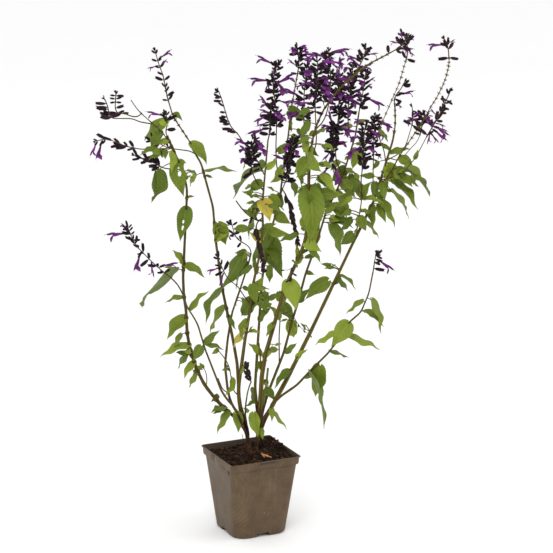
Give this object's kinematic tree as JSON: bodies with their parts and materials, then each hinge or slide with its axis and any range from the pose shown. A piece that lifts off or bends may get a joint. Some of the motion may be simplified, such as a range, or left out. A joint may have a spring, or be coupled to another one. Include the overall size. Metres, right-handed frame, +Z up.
{
  "type": "potted perennial salvia",
  "caption": "Tall, open clump of perennial salvia with woody stems, toothed leaves and slender spikes of dark calyces and purple flowers, growing in a square nursery pot.",
  "frame": {"origin": "middle of the flat underside of the pot", "axes": "+Z up along the plant, +X and +Y along the pot's sides; the picture looks along +Y, turned 25 degrees towards +X"},
  "size_m": [0.5104, 0.3829, 0.7644],
  "materials": {
    "pot_plastic": "moulded taupe plastic, dusty",
    "potting_soil": "damp peat and bark potting mix, near-black brown",
    "bark": "dry pale bark",
    "stem_bark": "brown woody bark",
    "stem_olive": "olive-brown stems with green toothed leaves",
    "stem_green": "green cut stem",
    "stem_dry": "dry grey stem",
    "calyx_purple": "near-black purple calyces with purple flowers",
    "dead_calyx": "dry black-brown calyces"
  },
  "bodies": {
    "root": {"bark_chip": "bark", "crown_left": "stem_bark", "crown_right": "stem_bark", "pot": "pot_plastic", "soil": "potting_soil", "spike_arching": "calyx_purple", "spike_centre_left": "calyx_purple", "spike_centre_low": "calyx_purple", "spike_centre_top": "calyx_purple", "spike_dead_high": "dead_calyx", "spike_dead_low": "dead_calyx", "spike_dead_middle": "dead_calyx", "spike_far_back": "calyx_purple", "spike_far_right": "calyx_purple", "spike_hanging": "calyx_purple", "spike_left_a": "calyx_purple", "spike_left_b": "calyx_purple", "spike_left_c": "calyx_purple", "spike_left_d": "calyx_purple", "spike_left_low": "calyx_purple", "spike_left_small": "calyx_purple", "spike_left_top": "calyx_purple", "spike_left_upper": "calyx_purple", "spike_middle": "calyx_purple", "spike_middle_left": "calyx_purple", "spike_middle_low": "calyx_purple", "spike_one_sided": "calyx_purple", "spike_right_a": "calyx_purple", "spike_right_b": "calyx_purple", "spike_right_back": "calyx_purple", "spike_right_c": "calyx_purple", "spike_right_inner": "calyx_purple", "spike_right_leafy": "calyx_purple", "spike_right_low": "calyx_purple", "spike_right_tall": "calyx_purple", "spike_right_top": "calyx_purple", "spike_top_a": "calyx_purple", "spike_top_b": "calyx_purple", "spike_top_c": "calyx_purple", "spike_top_d": "calyx_purple", "spike_top_e": "calyx_purple", "spike_top_f": "calyx_purple", "stem_centre_short": "stem_olive", "stem_centre_tall": "stem_olive", "stem_dead_thin": "stem_dry", "stem_green_cut": "stem_green", "stem_left_arching": "stem_olive", "stem_left_outer": "stem_olive", "stem_left_tall": "stem_olive", "stem_middle": "stem_olive", "stem_middle_left": "stem_olive", "stem_right_leafy": "stem_olive", "stem_right_low": "stem_olive", "stem_right_tall": "stem_olive", "stem_right_thick": "stem_olive"}
  },
  "joints": []
}
